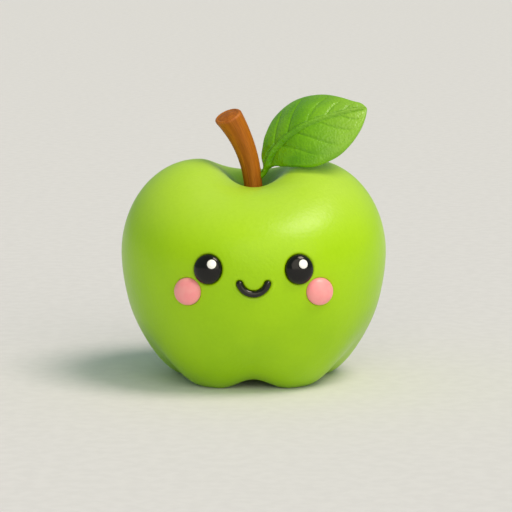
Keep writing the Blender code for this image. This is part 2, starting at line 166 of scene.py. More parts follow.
def cavity_height(radius):
    rise = (1 - math.cos(math.pi * (radius / CREST_RADIUS) ** FUNNEL)) / 2
    return CREST_HEIGHT - CAVITY_DEPTH * (1 - rise)


def basin_height(radius):
    rise = (1 + math.cos(math.pi * radius / REST_RADIUS)) / 2
    return BASIN_DEPTH * rise - REST_FLAT * (1 - rise)


def apple_outline():
    """Half outline (radius, height), from the stem's socket to the calyx's."""
    socket_floor = CREST_HEIGHT - CAVITY_DEPTH - STEM_SOCKET.z
    outline = [(0.0, socket_floor), (STEM_SOCKET.x, socket_floor)]
    for i in range(CAVITY_STEPS):
        radius = STEM_SOCKET.x + (CREST_RADIUS - STEM_SOCKET.x) * i / CAVITY_STEPS
        outline.append((radius, cavity_height(radius)))
    for i in range(FLANK_STEPS):
        turn = math.pi / 2 * i / FLANK_STEPS
        height = WAIST_HEIGHT + (CREST_HEIGHT - WAIST_HEIGHT) * math.cos(turn)
        outline.append((flank_radius(height), height))
    for i in range(FLANK_STEPS):
        turn = math.pi / 2 * i / FLANK_STEPS
        height = WAIST_HEIGHT - (WAIST_HEIGHT + REST_FLAT) * math.sin(turn) ** (2 / TAPER)
        outline.append((flank_radius(height), height))
    for i in range(BASIN_STEPS + 1):
        radius = REST_RADIUS + (CALYX_SOCKET.x - REST_RADIUS) * i / BASIN_STEPS
        outline.append((radius, basin_height(radius)))
    return outline + [(CALYX_SOCKET.x, CALYX_SOCKET.z), (0.0, CALYX_SOCKET.z)]


def turned_skin():
    bm = bmesh.new()
    corners = [bm.verts.new((radius, 0, height)) for radius, height in apple_outline()]
    for upper, lower in zip(corners, corners[1:]):
        bm.edges.new((upper, lower))
    bmesh.ops.spin(
        bm,
        geom=bm.verts[:] + bm.edges[:],
        cent=(0, 0, 0),
        axis=(0, 0, 1),
        angle=math.tau,
        steps=TURN_STEPS,
        use_merge=True,
    )
    bmesh.ops.remove_doubles(bm, verts=bm.verts, dist=0.001 * MM)
    bmesh.ops.recalc_face_normals(bm, faces=bm.faces)
    return bm


skin = turned_skin()
print("turned skin:", len(skin.faces), "faces")

# %% [markdown]
# ## Growing the turned shape into an apple
# Real apples aren't quite round. The rim of the stem's cavity dips at the front and the back,
# five lobes stand round the base with soft grooves between them, and the body is a little
# deeper from side to side than from front to back. Each of these is a smooth push on every
# point of the skin. The skin that comes out is kept as a tree of faces, so that rays can find
# where each later piece touches it.

# %% Rim, lobes and resting spots
RIM_DIP_FRONT = 6.9 * MM
RIM_DIP_BACK = 5.1 * MM
LOBES = 5
LOBE_REACH = 24.0 * MM
GROOVE_DEPTH = 3.0 * MM
GROOVE_PINCH = 1.4 * MM
GROOVE_SHARPNESS = 1.6


def grown(point):
    """Where the grown skin has a point of the turned one."""
    radius = math.hypot(point.x, point.y)
    around = math.atan2(-point.y, point.x)
    high = smoothstep((point.z - WAIST_HEIGHT) / (CREST_HEIGHT - WAIST_HEIGHT))
    at_rim = high * smoothstep(radius / CREST_RADIUS)
    at_lobes = smoothstep(1 - point.z / LOBE_REACH) * smoothstep(radius / REST_RADIUS)
    wave = (1 + math.cos(LOBES * (around - math.pi / 2))) / 2
    groove = wave**GROOVE_SHARPNESS * at_lobes
    inwards = 1 - GROOVE_PINCH * groove / max(radius, REST_RADIUS)
    dip = (RIM_DIP_FRONT if point.y < 0 else RIM_DIP_BACK) * math.sin(around) ** 2
    height = max(0.0, point.z - dip * at_rim + GROOVE_DEPTH * groove)
    return APPLE_AXIS + Vector((point.x * inwards, point.y * inwards * DEPTH_SHARE, height))


def skin_tree(bm, place):
    """The faces of the mesh, each point moved by the rule, ready for rays."""
    points = [place(vert.co) for vert in bm.verts]
    for index, vert in enumerate(bm.verts):
        vert.index = index
    return BVHTree.FromPolygons(points, [[v.index for v in face.verts] for face in bm.faces])


plain_skin = skin_tree(skin, grown)

# %% [markdown]
# ## Where the face goes
# The beads of the face sit half sunk in the skin. The measured model says where the middle of
# each one is, and the skin there says which way it faces: rays that pass a little to either
# side, and above and below, give two directions along the skin, and so the one out of it.
#
# A face is made to be looked at from the front. A round bead on the slope of a cheek would
# look like a leaning oval from there, so each bead is stretched along the skin until its
# outline, seen from the front, is an upright oval again. With P the two directions along the
# skin as the viewer sees them, p the one out of it and d the bead's half depth, the stretch is
# the square root of S, where P S P' + d2 p p' is the wanted oval.

# %% Seats for the eyes, the cheeks and the smile
EYE_HALF = Vector((4.15, 4.4, 2.4)) * MM  # as seen from the front: across, up, and out of the skin
CHEEK_HALF = Vector((4.0, 4.05, 2.5)) * MM
GLINT_HALF = Vector((1.35, 1.35, 0.5)) * MM
SMILE_RADIUS = 4.2 * MM
SMILE_HALF_ANGLE = math.radians(74)
SMILE_ROD = 1.0 * MM  # its radius
FEELER = 2.0 * MM  # how far from a bead's middle the rays pass
WELL_IN_FRONT = -200.0 * MM
VIEW_RIGHT = Vector((1, 0, 0))
VIEW_UP = towards_camera.cross(VIEW_RIGHT)


def middle_of(node):
    low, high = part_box(node)
    return (low + high) / 2


def on_skin(x, z):
    """The point of the front skin at this distance to the right and this height."""
    return plain_skin.ray_cast(Vector((x, WELL_IN_FRONT, z)), Vector((0, 1, 0)))[0]


def bead_place(node, half):
    """The place that turns a ball of radius 1 into the bead: Z is out of the skin."""
    middle = middle_of(node)
    x, z = middle.x, middle.z
    right = on_skin(x + FEELER, z) - on_skin(x - FEELER, z)
    out = right.cross(on_skin(x, z + FEELER) - on_skin(x, z - FEELER)).normalized()
    right = Vector((0, 0, 1)).cross(out).normalized()
    up = out.cross(right)
    seen = Matrix([[axis.dot(side) for side in (right, up)] for axis in (VIEW_RIGHT, VIEW_UP)])
    lean = Vector((out.dot(VIEW_RIGHT), out.dot(VIEW_UP))) * half.z
    rest = [[half.x**2 - lean.x**2, -lean.x * lean.y], [-lean.x * lean.y, half.y**2 - lean.y**2]]
    square = seen.inverted() @ Matrix(rest) @ seen.inverted().transposed()
    root = math.sqrt(square.determinant())
    across, along = square[0][0] + root, square[1][1] + root
    stretch = Vector((across, square[0][1], along)) / math.sqrt(across + along)
    wide = right * stretch.x + up * stretch.y
    high = right * stretch.y + up * stretch.z
    axes = Matrix((wide, high, out * half.z)).transposed().to_4x4()
    return Matrix.Translation(middle) @ axes


SIDES = ("left", "right")
eye_places = {side: bead_place(f"eye_{side}", EYE_HALF) for side in SIDES}
cheek_places = {side: bead_place(f"cheek_{side}", CHEEK_HALF) for side in SIDES}
SMILE_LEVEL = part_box("mouth")[0].z + SMILE_RADIUS + SMILE_ROD
print("smile's circle is centred", round(SMILE_LEVEL / MM, 1), "mm up")


def smile_offset(x, z):
    """(distance from the smile's middle line, nearest point's turn from straight down)."""
    turn = math.atan2(x, SMILE_LEVEL - z)
    turn = max(-SMILE_HALF_ANGLE, min(SMILE_HALF_ANGLE, turn))
    near_x = SMILE_RADIUS * math.sin(turn)
    near_z = SMILE_LEVEL - SMILE_RADIUS * math.cos(turn)
    return math.hypot(x - near_x, z - near_z), turn


# %% [markdown]
# ## Finer skin round the face
# A rim pressed round a bead is a fifth of a millimetre wide, far less than the skin's faces.
# Subdividing the whole skin so finely would take millions of faces. Only the edges near the
# face are cut, and their new points are put back on the round flank.

# %% Subdivide near the face
FINE_MARGIN = 2.4 * MM
SMILE_MARGIN = 3.4 * MM
FINE_CUTS = 5


def near_face(point):
    if point.y > APPLE_AXIS.y:
        return False
    for places, half in ((eye_places, EYE_HALF), (cheek_places, CHEEK_HALF)):
        for place in places.values():
            if (point - place.translation).length < half.y + FINE_MARGIN:
                return True
    return smile_offset(point.x, point.z)[0] < SMILE_ROD + SMILE_MARGIN


fine_edges = [e for e in skin.edges if all(near_face(grown(v.co)) for v in e.verts)]
bmesh.ops.subdivide_edges(skin, edges=fine_edges, cuts=FINE_CUTS, use_grid_fill=True)
for vert in skin.verts:
    if vert.co.y < 0 and near_face(grown(vert.co)):
        stretch = flank_radius(vert.co.z) / math.hypot(vert.co.x, vert.co.y)
        vert.co.x, vert.co.y = vert.co.x * stretch, vert.co.y * stretch
for vert in skin.verts:
    vert.co = grown(vert.co)
print("skin with a fine face:", len(skin.faces), "faces")

# %% [markdown]
# ## Pressing seats
# Press a bead into soft vinyl and three things happen: the skin bends down over a narrow lip,
# a wall drops straight at the bead's edge, and a bowl forms under it. The same push makes all
# of them. Points that lie close to the edge are moved onto it first, so the rim is a clean
# curve and not a staircase.

# %% Press a round seat
SEAT_GAP = 0.08 * MM
SEAT_WALL = 1.3 * MM
WALL_IN_BOWL = 0.6  # share of the wall's drop that counts towards the bowl's depth
RIM_CATCH = 0.11 * MM
DEEP_LIP = {"lip": 0.28 * MM, "lip_width": 0.7 * MM}
SLIGHT_LIP = {"lip": 0.1 * MM, "lip_width": 0.4 * MM}


def press_seat(bm, place, lip, lip_width, wall=SEAT_WALL, catch=RIM_CATCH):
    """Make room in a skin for the bead that a ball of radius 1 becomes at this place."""
    into_place = place.inverted()
    wide, high, out = (place.col[i].to_3d().length for i in range(3))
    radius = (wide + high) / 2
    rim = 1 + SEAT_GAP / radius
    bowl_depth = max(0.0, out + SEAT_GAP - wall * WALL_IN_BOWL)
    for vert in bm.verts:
        spot = into_place @ vert.co
        from_axis = math.hypot(spot.x, spot.y)
        from_rim = (from_axis - rim) * radius
        if from_rim > lip_width or abs(spot.z) * out > radius:
            continue
        if abs(from_rim) < catch:
            spot.x, spot.y, from_rim = spot.x * rim / from_axis, spot.y * rim / from_axis, 0.0
        if from_rim < 0:
            bowl = math.sqrt(max(0.0, 1 - (from_axis / rim) ** 2))
            spot.z = -(wall + bowl_depth * bowl) / out
        else:
            spot.z -= lip / out * (1 - from_rim / lip_width) ** 2
        vert.co = place @ spot


def refine_near(bm, middle, reach, cuts, put_back):
    """Cut the edges near a point, and put the new points back on the surface."""
    close = [e for e in bm.edges if all((v.co - middle).length < reach for v in e.verts)]
    bmesh.ops.subdivide_edges(bm, edges=close, cuts=cuts, use_grid_fill=True)
    for vert in bm.verts:
        if (vert.co - middle).length < reach:
            vert.co = put_back(vert.co)


for side in SIDES:
    press_seat(skin, eye_places[side], **DEEP_LIP)
    press_seat(skin, cheek_places[side], **SLIGHT_LIP)
print("seats pressed for", len(SIDES), "eyes and", len(SIDES), "cheeks")

# %% [markdown]
# The smile's groove follows its arc. Vinyl that was pushed out of the groove stands as a thin
# lip along its lower side.

# %% Press the smile's groove
GROOVE_WALL = 0.5 * MM
GROOVE_HALF = SMILE_ROD + SEAT_GAP  # half the groove's width
SMILE_LIP = 0.5 * MM  # how wide the skin bends down to the groove
SMILE_LIP_DEPTH = 0.22 * MM
SWELL_OUT = 0.8 * MM  # from the rod's edge to the swelling's crest
SWELL_HEIGHT = 0.17 * MM
SWELL_WIDTH = 0.27 * MM
SWELL_ARC = 1.08  # how far the swelling follows the smile, as a share of its arc
SWELL_END = 4.0  # how sharply it ends there

for vert in skin.verts:
    if vert.co.y > APPLE_AXIS.y:
        continue
    distance, turn = smile_offset(vert.co.x, vert.co.z)
    from_rim = distance - GROOVE_HALF
    if from_rim > SWELL_OUT + 2 * SWELL_WIDTH:
        continue
    if abs(from_rim) < RIM_CATCH:
        near = Vector((math.sin(turn), 0, -math.cos(turn))) * SMILE_RADIUS
        near.z += SMILE_LEVEL
        outwards = (Vector((vert.co.x, 0, vert.co.z)) - near).normalized()
        vert.co.x = near.x + outwards.x * GROOVE_HALF
        vert.co.z = near.z + outwards.z * GROOVE_HALF
        from_rim = 0.0
    if from_rim < 0:
        under = math.sqrt(max(0.0, GROOVE_HALF**2 - distance**2))
        vert.co.y = on_skin(vert.co.x, vert.co.z).y + GROOVE_WALL + under
        continue
    if from_rim < SMILE_LIP:
        vert.co.y += SMILE_LIP_DEPTH * (1 - from_rim / SMILE_LIP) ** 2
    from_centre = math.hypot(vert.co.x, SMILE_LEVEL - vert.co.z)
    below = smoothstep((from_centre - SMILE_RADIUS) / SMILE_ROD)
    fade = smoothstep((SMILE_HALF_ANGLE * SWELL_ARC - abs(turn)) * SWELL_END)
    vert.co.y -= SWELL_HEIGHT * hump(from_rim - SWELL_OUT, SWELL_WIDTH) * below * fade

apple_skin = finished_piece("apple_skin", skin, "fruit", PRESSED_SHARP_ANGLE)

# %% [markdown]
# ## Beads
# The eyes, their glints and the cheeks are beads pressed a little flat. Each eye has a small
# round seat for its glint, so its skin is made finer there first.

# %% Eyes, glints and cheeks
GLINT_SEAT = {"lip": 0.05 * MM, "lip_width": 0.2 * MM, "wall": 0.35 * MM, "catch": 0.04 * MM}
GLINT_MARGIN = 1.5  # how far round its seat the eye's skin is made finer, in glint radii
GLINT_CUTS = 3


def bead(place, around=96, rings=64):
    """A ball pressed flat, at a place."""

    def shape(turn, share):
        out, up = math.sin(math.pi * share), math.cos(math.pi * share)
        return place @ Vector((out * math.cos(turn), out * math.sin(turn), up))

    return moulded(around, rings, shape)


def glint_place(side):
    """Where the glint sits on its eye, with Z out of the eye."""
    eye_place = eye_places[side]
    spot = (eye_place.inverted() @ middle_of(f"eye_glint_{side}")).normalized()
    out = eye_place.to_3x3().inverted().transposed() @ spot
    turned = out.to_track_quat("Z", "Y").to_matrix().to_4x4()
    return Matrix.Translation(eye_place @ spot) @ turned @ Matrix.Diagonal((*GLINT_HALF, 1))


def eye(side):
    eye_place = eye_places[side]
    bm = bead(eye_place)
    into_eye = eye_place.inverted()

    def on_eye(point):
        return eye_place @ (into_eye @ point).normalized()

    place = glint_place(side)
    refine_near(bm, place.translation, GLINT_HALF.x * GLINT_MARGIN, GLINT_CUTS, on_eye)
    press_seat(bm, place, **GLINT_SEAT)
    return bm


eyes, glints, cheeks = [], [], []
for side in SIDES:
    ball = eye(side)
    eyes.append(
        finished_piece(f"{side}_eye", ball, f"eye_{side}", PRESSED_SHARP_ANGLE)
    )
    dot = bead(glint_place(side), around=48, rings=24)
    glints.append(finished_piece(f"{side}_glint", dot, f"eye_glint_{side}"))
    blush = bead(cheek_places[side])
    cheeks.append(finished_piece(f"{side}_cheek", blush, f"cheek_{side}"))

# %% [markdown]
# ## The smile
# A round-ended rod bent to an arc. Its rings run along the arc, and their radius closes to
# nothing at both ends as a circle does, which rounds them.

# %% Smile
def smile_shape(turn, share):
    """share runs from the left tip of the rod to the right one."""
    tip_turn = SMILE_HALF_ANGLE + SMILE_ROD / SMILE_RADIUS
    along = -math.cos(math.pi * share) * tip_turn
    to_tip = min(1.0, (tip_turn - abs(along)) * SMILE_RADIUS / SMILE_ROD)
    radius = SMILE_ROD * math.sqrt(max(0.0, 1 - (1 - to_tip) ** 2))
    outwards = Vector((math.sin(along), 0, -math.cos(along)))
    x, z = SMILE_RADIUS * outwards.x, SMILE_LEVEL + SMILE_RADIUS * outwards.z
    spoke = outwards * math.cos(turn) + Vector((0, -1, 0)) * math.sin(turn)
    return on_skin(x, z) + spoke * radius


smile = finished_piece("smile", moulded(40, 120, smile_shape), "mouth")

# %% [markdown]
# ## The stem
# A bent twig, thin where it enters the apple and thicker at its cut end. The rings first cover
# the foot, then the length, then roll over the rounded rim onto the cut, where a faint groove
# separates the bark from the wood. Long shallow furrows follow the grain. Each point is marked
# with its place on an unrolled, straight twig, so that the wood's colour follows the bend.

# %% Stem
STEM_FOOT_RADIUS = 2.8 * MM
STEM_END_RADIUS = 4.2 * MM
STEM_HEIGHT = 25.8 * MM
STEM_SEAT = 4.0 * MM
STEM_LEAN = 7.8 * MM
STEM_FORWARD = 4.5 * MM
STEM_BEND = 2.2
STEM_FLARE = 2.6
STEM_CUT_NORMAL = Vector((-0.38, -0.31, 0.88)).normalized()
STEM_RIM = 0.75 * MM
STEM_FOOT = APPLE_AXIS + Vector((0, 0, CREST_HEIGHT - CAVITY_DEPTH))
FOOT_SHARE, LENGTH_SHARE, RIM_SHARE = 0.03, 0.84, 0.90  # where each stretch of rings ends
BARK_WIDTH = 1.25 * MM
RING_DEPTH, RING_WIDTH = 0.16 * MM, 0.22 * MM  # the groove between bark and wood
CUT_DOME, CUT_DOME_RUN = 0.3 * MM, 2.0 * MM
FURROW_DEPTH = 0.12 * MM
FURROWS_ROUND, FURROWS_ALONG = 2.8, 1.8  # how closely they follow each other
FURROW_WANDER, WANDER_PACE = 0.35, 3.0
FURROWS_OPEN, FURROWS_CLOSE = 6, 12  # how fast, above the foot and below the cut


def stem_middle(share):
    above_floor = max(share, 0.0)
    left = STEM_LEAN * above_floor**STEM_BEND
    return STEM_FOOT + Vector((-left, -STEM_FORWARD * above_floor**2, STEM_HEIGHT * share))


def stem_radius(share):
    return STEM_FOOT_RADIUS + (STEM_END_RADIUS - STEM_FOOT_RADIUS) * max(share, 0.0) ** STEM_FLARE


def on_stem(turn, share, shrink=0.0):
    """A point of the smooth bark, or under it by the shrink."""
    ahead = (stem_middle(share + 0.01) - stem_middle(share - 0.01)).normalized()
    right = Vector((0, 1, 0)).cross(ahead).normalized()
    outwards = right * math.cos(turn) + ahead.cross(right) * math.sin(turn)
    return stem_middle(share) + outwards * (stem_radius(share) - shrink)


cut_shares = {}


def cut_share(turn):
    """How far up the stem this side of the bark meets the slanting cut."""
    key = round(turn, 4)
    if key not in cut_shares:
        low, high = 0.5, 1.5
        while high - low > 1e-4:
            half_way = (low + high) / 2
            above = (on_stem(turn, half_way) - stem_middle(1)).dot(STEM_CUT_NORMAL) > 0
            low, high = (low, half_way) if above else (half_way, high)
        cut_shares[key] = low
    return cut_shares[key]


def furrows(turn, share):
    """Depth of the grain, from 0 to about 1."""
    around = turn + FURROW_WANDER * noise.noise(Vector((0, 0, share * WANDER_PACE)))
    place = Vector((math.cos(around), math.sin(around), 0)) * FURROWS_ROUND
    place.z = share * FURROWS_ALONG
    coarse = 1 - min(1.0, abs(noise.noise(place)) * 4.5)
    fine = 1 - min(1.0, abs(noise.noise(place * 2.3)) * 4.0)
    return 0.7 * coarse + 0.3 * fine


def stem_shape(turn, share):
    foot = -STEM_SEAT / STEM_HEIGHT
    rim_drop = STEM_RIM / STEM_HEIGHT
    if share < FOOT_SHARE:
        return on_stem(turn, foot, STEM_FOOT_RADIUS * (1 - share / FOOT_SHARE))
    top = cut_share(turn)
    if share < LENGTH_SHARE:
        run = (share - FOOT_SHARE) / (LENGTH_SHARE - FOOT_SHARE)
        place = foot + (top - rim_drop - foot) * run
        open_bark = smoothstep(run * FURROWS_OPEN) * smoothstep((1 - run) * FURROWS_CLOSE)
        return on_stem(turn, place, FURROW_DEPTH * furrows(turn, place) * open_bark)
    rim_point = on_stem(turn, top)
    inwards = (stem_middle(1) - rim_point).normalized()
    if share < RIM_SHARE:
        roll = (share - LENGTH_SHARE) / (RIM_SHARE - LENGTH_SHARE) * math.pi / 2
        side = on_stem(turn, top - rim_drop * (1 - math.sin(roll)))
        return side + inwards * STEM_RIM * (1 - math.cos(roll))
    rim_edge = rim_point + inwards * STEM_RIM
    to_middle = (share - RIM_SHARE) / (1 - RIM_SHARE)
    place = rim_edge.lerp(stem_middle(1), to_middle)
    past_bark = (place - rim_edge).length - BARK_WIDTH + STEM_RIM
    groove = RING_DEPTH * hump(past_bark, RING_WIDTH)
    dome = CUT_DOME * smoothstep(past_bark / CUT_DOME_RUN)
    return place + STEM_CUT_NORMAL * (dome - groove)


def stem_mark(turn, share):
    """The point's place on a straight twig: across, across and along."""
    run = (share - FOOT_SHARE) / (LENGTH_SHARE - FOOT_SHARE)
    radius = STEM_END_RADIUS * (1 - max(0.0, share - RIM_SHARE) / (1 - RIM_SHARE))
    return Vector((radius * math.cos(turn), radius * math.sin(turn), run * STEM_HEIGHT))


stem = moulded(160, 230, stem_shape, stem_mark)
print("stem without its socket:", len(stem.faces), "faces")

# %% [markdown]
# ## The leaf
# One plump blade with its stalk. A smooth line through a few points is its midrib. Across it,
# the blade is as wide as the leaf's outline says, arches back from the midrib, and where it
# would touch the apple's shoulder it is raised clear of it. A section of the blade is flat
# with half-round edges, and it swells between the veins.

# %% The leaf's middle surface
LEAF_LENGTH = 38.0 * MM
LEAF_WIDTH = 27.0 * MM
LEAF_ARCH = 4.6 * MM
LEAF_THICKNESS = 1.8 * MM
LEAF_FACING = Vector((-0.22, -0.70, 0.68)).normalized()
LEAF_JOINT_HEIGHT = 7.4 * MM
LEAF_GAP = 0.5 * MM
SHOULDER_BLEND = 1.2 * MM  # over which the blade starts to rise clear of the shoulder
STALK_WIDTH = 1.7 * MM
STALK_SEAT = 1.2 * MM
STALK_DIRECTION = Vector((0.68, -0.12, 0.72)).normalized()
STALK_LENGTH = 1.5 * MM
# Share of the way to the tip, then how far the blade reaches above the midrib and below it, in
# shares of the leaf's width.
LEAF_OUTLINE = (
    (0.0, STALK_WIDTH / 2 / LEAF_WIDTH, STALK_WIDTH / 2 / LEAF_WIDTH),
    (0.05, 0.045, 0.035),
    (0.12, 0.125, 0.10),
    (0.19, 0.19, 0.225),
    (0.26, 0.32, 0.33),
    (0.34, 0.47, 0.405),
    (0.44, 0.555, 0.45),
    (0.54, 0.55, 0.47),
    (0.64, 0.455, 0.445),
    (0.74, 0.30, 0.355),
    (0.84, 0.165, 0.24),
    (0.93, 0.095, 0.11),
    (1.0, 0.0, 0.0),
)
# Points of the midrib, from the joint, in shares of the leaf's length.
MIDRIB = ((0.12, -0.06, 0.215), (0.34, -0.14, 0.40), (0.65, -0.14, 0.50), (0.83, -0.11, 0.53))

joint_share = LEAF_JOINT_HEIGHT / STEM_HEIGHT
LEAF_JOINT = stem_middle(joint_share) + Vector((stem_radius(joint_share), 0, 0))
midrib_knots = [LEAF_JOINT + STALK_DIRECTION * out for out in (-STALK_SEAT, STALK_LENGTH)]
midrib_knots += [LEAF_JOINT + Vector(share) * LEAF_LENGTH for share in MIDRIB]


def on_midrib(run):
    """A point of the smooth line through the knots, whose run is 0 to 1."""
    last = len(midrib_knots) - 1
    span = min(int(run * last), last - 1)
    t = run * last - span

    def slope(i):
        return (midrib_knots[min(i + 1, last)] - midrib_knots[max(i - 1, 0)]) / 6

    a, b = midrib_knots[span], midrib_knots[span + 1]
    c, d = a + slope(span), b - slope(span + 1)
    return (1 - t) ** 3 * a + 3 * (1 - t) ** 2 * t * c + 3 * (1 - t) * t * t * d + t**3 * b


def blade_share(run):
    """0 where the straight stalk ends, and 1 at the tip."""
    return (run * (len(midrib_knots) - 1) - 1) / (len(midrib_knots) - 2)


def leaf_reach(share, column):
    """How far the leaf reaches to one side of its midrib: column 1 is above and 2 below."""
    share = min(max(share, 0.0), 1.0)
    last = len(LEAF_OUTLINE) - 1
    index = max(i for i in range(last) if LEAF_OUTLINE[i][0] <= share)
    before, start, end, after = (LEAF_OUTLINE[min(max(index + i, 0), last)] for i in range(-1, 3))
    step = end[0] - start[0]
    slope_in = (end[column] - before[column]) / (end[0] - before[0]) * step
    slope_out = (after[column] - start[column]) / (after[0] - start[0]) * step
    t = (share - start[0]) / step
    reach = (2 * t**3 - 3 * t**2 + 1) * start[column] + (t**3 - 2 * t**2 + t) * slope_in
    reach += (3 * t**2 - 2 * t**3) * end[column] + (t**3 - t**2) * slope_out
    return max(0.0, LEAF_WIDTH * reach)


def over_shoulder(point):
    """The point, raised smoothly where the blade would come too near the apple."""
    hit, out, _, _ = plain_skin.ray_cast(point + Vector((0, 0, CREST_HEIGHT)), Vector((0, 0, -1)))
    if hit is None:
        return point
    lift = hit.z + (LEAF_THICKNESS / 2 + LEAF_GAP) / out.z - point.z
    if lift < SHOULDER_BLEND:
        lift = max(0.0, lift + SHOULDER_BLEND) ** 2 / (4 * SHOULDER_BLEND)
    return point + Vector((0, 0, lift))


print("midrib runs through", len(midrib_knots), "points")


# %% [markdown]
# The veins are what makes it a leaf. The midrib is a low ridge between two gutters. From it
# side veins leave by turns, five above and four below, and sweep towards the tip. Each is a
# narrow groove in a wide soft valley, so the blade between two veins puffs up. They fade
# before the rounded margin.

# %% Veins
UPPER_VEINS = (0.235, 0.37, 0.52, 0.63, 0.74)  # shares of the midrib where they leave it
LOWER_VEINS = (0.28, 0.42, 0.57, 0.70)
UPPER_SWEEP, LOWER_SWEEP = 0.20, 0.29  # how much nearer the tip a vein ends, in those shares
VEIN_CURVE = 1.15
VEIN_SLANT = 0.8  # distance across a vein, as a share of that along the midrib
BLADE_LENGTH = 40.0 * MM  # of the curved midrib
RIB_HEIGHT, RIB_WIDTH = 0.6 * MM, 0.75 * MM
GUTTER_DEPTH, GUTTER_WIDTH = 0.5 * MM, 0.42 * MM
GUTTER_OUT = 1.45 * MM  # from the midrib's middle
VEIN_DEPTH, VEIN_WIDTH = 0.3 * MM, 0.27 * MM
VALLEY_DEPTH, VALLEY_WIDTH = 0.15 * MM, 1.1 * MM
VEIN_START, VEIN_RISE = 1.2 * MM, 0.6 * MM  # beside the midrib, and the run over which it deepens
VEIN_END, VEIN_FALL = 1.2 * MM, 3.0 * MM  # the same at the margin
PLAIN_HALF, RELIEF_RUN = 1.6 * MM, 2.4 * MM  # a blade of this half width has no relief yet
RIB_TAPER, GUTTER_TAPER = 0.6, 0.35  # how much they have lost at the tip
GUTTER_MARK, RIB_MARK = 0.8, 0.4  # how much of a vein's colour they take


def vein_relief(along, across, half):
    """(height of the upper side, how much of a vein) at a share along and a distance across."""
    out = abs(across)
    slim = 1 - RIB_TAPER * along
    ridge = hump(out, RIB_WIDTH * slim)
    gutter = hump(out - GUTTER_OUT * slim, GUTTER_WIDTH * slim)
    reach = out / max(half, 0.1 * MM)
    inside = smoothstep((half - out - VEIN_END) / VEIN_FALL)
    inside *= smoothstep((out - VEIN_START * slim) / VEIN_RISE)
    groove = valley = 0.0
    starts, sweep = (UPPER_VEINS, UPPER_SWEEP) if across > 0 else (LOWER_VEINS, LOWER_SWEEP)
    for start in starts:
        line = start + sweep * reach**VEIN_CURVE
        distance = (along - line) * BLADE_LENGTH * VEIN_SLANT
        groove = max(groove, hump(distance, VEIN_WIDTH))
        valley = max(valley, hump(distance, VALLEY_WIDTH))
    blade = smoothstep((half - PLAIN_HALF) / RELIEF_RUN)
    height = RIB_HEIGHT * ridge * smoothstep(half / (2 * MM))
    height -= GUTTER_DEPTH * gutter * blade * (1 - GUTTER_TAPER * along)
    height -= (VEIN_DEPTH * groove + VALLEY_DEPTH * valley) * inside * blade
    return height, max(groove * inside * blade, gutter * GUTTER_MARK, ridge * RIB_MARK)


print("veins:", len(UPPER_VEINS), "above the midrib and", len(LOWER_VEINS), "below it")

# %% Leaf
ROUND_EDGE = 0.16  # share of the points round a section that make its two half-round edges
TO_MIDRIB = 1.3  # above 1 the points stand closer together near the midrib
ROUND_TIP, ROUND_STALK = 0.035, 0.03  # shares of the length that close the leaf's two ends
NEARBY = 0.004  # share of the midrib that tells which way it runs
UNDER_RIBS = 0.5  # height of the veins under the leaf, in rib heights
# how wide the painted highlight along the leaf's margin is
MARGIN_HIGHLIGHT_WIDTH = 1.6 * MM


def leaf_section(turn, share):
    """(blade share, half width, across, height off the middle surface) of a point."""
    along = blade_share(share)
    ends = math.sqrt(max(0.0, 1 - max(0.0, (share - 1 + ROUND_TIP) / ROUND_TIP) ** 2))
    ends *= math.sqrt(max(0.0, 1 - max(0.0, (ROUND_STALK - share) / ROUND_STALK) ** 2))
    quarter = abs(turn) / math.pi
    half = leaf_reach(along, 1 if quarter < 0.5 else 2) * (ends if along < 0 else 1.0)
    thick = LEAF_THICKNESS / 2 * ends
    edge_radius = min(thick, half * 0.98)
    from_edge = 2 * min(quarter, 1 - quarter)
    if from_edge < ROUND_EDGE:
        roll = from_edge / ROUND_EDGE * math.pi / 2
        out = half - edge_radius + edge_radius * math.cos(roll)
        height = thick * math.sin(roll)
    else:
        out = (half - edge_radius) * ((1 - from_edge) / (1 - ROUND_EDGE)) ** TO_MIDRIB
        height = thick
    across = out if quarter < 0.5 else -out
    return along, half, across, height


def leaf_shape(turn, share):
    along, half, across, height = leaf_section(turn, share)
    ahead = on_midrib(min(share + NEARBY, 1)) - on_midrib(max(share - NEARBY, 0))
    side = LEAF_FACING.cross(ahead).normalized()
    face = ahead.normalized().cross(side)
    curl = LEAF_ARCH * (across / (LEAF_WIDTH / 2)) ** 2
    point = on_midrib(share) + side * across - LEAF_FACING * curl
    if along > 0:
        point = over_shoulder(point)
    relief, vein = vein_relief(max(along, 0.0), across, half)
    fullness = smoothstep(height / (LEAF_THICKNESS / 2)) if along > 0 else 0.0
    if turn > 0:
        return point + face * (height + relief * fullness)
    return point - face * (height + UNDER_RIBS * RIB_HEIGHT * vein * fullness)


def leaf_mark(turn, share):
    """How much of a vein the point has, and how near the margin it is, for the margin's painted
    highlight.
    """
    along, half, across, _ = leaf_section(turn, share)
    vein = vein_relief(along, across, half)[1] if along > 0 else 1.0
    return Vector((vein, hump(half - abs(across), MARGIN_HIGHLIGHT_WIDTH), 0.0))


leaf = finished_piece("apple_leaf", moulded(280, 240, leaf_shape, leaf_mark), "leaf")

# %% [markdown]
# The stalk's end sits in the side of the stem, in a small hole pressed as the beads' seats.

# %% The stalk's socket in the stem
STALK_HOLE = 0.9 * MM  # its radius
STALK_HOLE_DEPTH = 1.6 * MM
STALK_HOLE_CATCH = 0.07 * MM

stalk_axis = STALK_DIRECTION.to_track_quat("Z", "Y").to_matrix().to_4x4()
stalk_half = Matrix.Diagonal((STALK_HOLE, STALK_HOLE, MM, 1))
stalk_place = Matrix.Translation(LEAF_JOINT) @ stalk_axis @ stalk_half
press_seat(stem, stalk_place, **SLIGHT_LIP, wall=STALK_HOLE_DEPTH, catch=STALK_HOLE_CATCH)
stem = finished_piece("apple_stem", stem, "stem")

# %% [markdown]
# ## The calyx
# Under an apple, in the middle of its basin, are the dried remains of the blossom: five small
# sepals round a tuft. They are drawn out of one flat ball, curled down at their tips and
# crumpled with a little noise.

